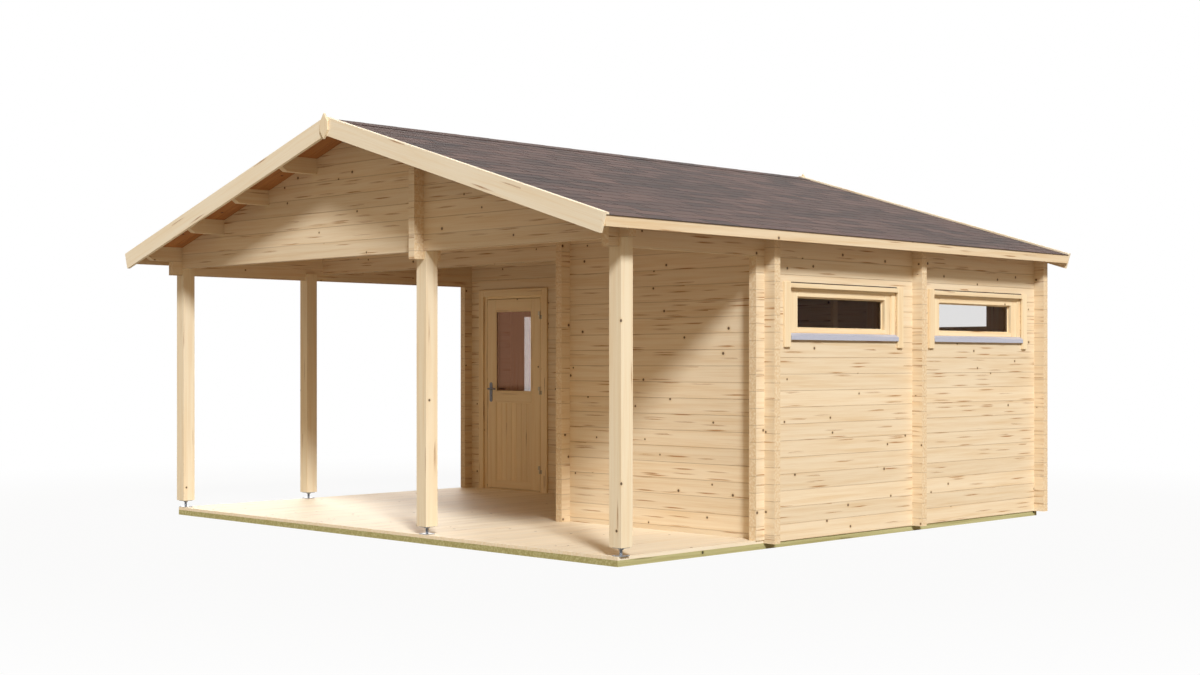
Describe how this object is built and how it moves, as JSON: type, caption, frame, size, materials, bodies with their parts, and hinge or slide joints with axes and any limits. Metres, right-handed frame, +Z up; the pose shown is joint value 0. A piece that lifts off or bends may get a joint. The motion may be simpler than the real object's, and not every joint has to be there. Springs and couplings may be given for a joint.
{
  "type": "log sauna cabin with covered terrace",
  "caption": "Log-walled sauna cabin with a gabled shingle roof, an L-shaped covered terrace on posts, a glazed entrance door and low windows.",
  "frame": {"origin": "middle of the cabin's outline at the underside of its foundation beams", "axes": "+X to the right seen from the terrace side, +Y from the front gable to the back, +Z up"},
  "size_m": [6.32, 6.246, 3.4468],
  "materials": {
    "spruce_logs": "planed untreated spruce, pale cream with small dark knots",
    "planed_boards": "planed spruce boards",
    "window_wood": "planed spruce joinery",
    "door_wood": "planed spruce joinery, slightly darker",
    "floor_boards": "planed spruce boards",
    "roof_boards": "tongued and grooved spruce boards",
    "treated_beams": "pressure-treated pine, olive green",
    "shingles": "bitumen shingles with brown and purple grit",
    "glazing": "clear double glazing",
    "sill_metal": "blue-grey painted sheet",
    "foot_steel": "galvanised steel",
    "hinge_steel": "zinc-plated steel",
    "handle_metal": "dark grey painted metal"
  },
  "bodies": {
    "cabin": {"foundation_frame": "treated_beams", "terrace_floor": "floor_boards", "room_floors": "floor_boards", "right_wall": "spruce_logs", "left_wall": "spruce_logs", "rear_wall": "spruce_logs", "front_room_wall": "spruce_logs", "step_wall": "spruce_logs", "door_wall_left": "spruce_logs", "door_wall_middle": "spruce_logs", "door_wall_right": "spruce_logs", "front_gable": "spruce_logs", "middle_gable": "spruce_logs", "partition_gable": "spruce_logs", "rear_gable": "spruce_logs", "side_beam_right": "spruce_logs", "side_beam_left": "spruce_logs", "ridge_purlin": "planed_boards", "purlins_right": "planed_boards", "purlins_left": "planed_boards", "roof_boards_right": "roof_boards", "roof_boards_left": "roof_boards", "roofing_right": "shingles", "roofing_left": "shingles", "eave_boards": "planed_boards", "front_barge_boards": "planed_boards", "rear_barge_boards": "planed_boards", "ridge_finials": "planed_boards", "post_front_left": "spruce_logs", "post_front_middle": "spruce_logs", "post_front_right": "spruce_logs", "post_back_left": "spruce_logs", "post_feet": "foot_steel", "window_frames": "window_wood", "window_sashes": "window_wood", "window_glass": "glazing", "window_sills": "sill_metal", "door_frame": "door_wood", "inner_door_lining": "door_wood", "door_hinge_plates": "hinge_steel"},
    "door": {"door_leaf": "door_wood", "door_glass": "glazing", "door_hinge_knuckles": "hinge_steel", "door_lock_plate": "handle_metal"},
    "lever": {"door_lever": "handle_metal"}
  },
  "joints": [
    {"name": "door_hinge", "type": "hinge", "parent": "cabin", "child": "door", "pos_m": [-1.7385, 0.89, 1], "axis": [0, 0, 1], "range_deg": [0, 110]},
    {"name": "door_handle", "type": "hinge", "parent": "door", "child": "lever", "pos_m": [-2.511, 0.92, 1.15], "axis": [0, 1, 0], "range_deg": [0, 40], "stiffness_Nm_per_rad": 1, "springref_deg": -20.05}
  ]
}
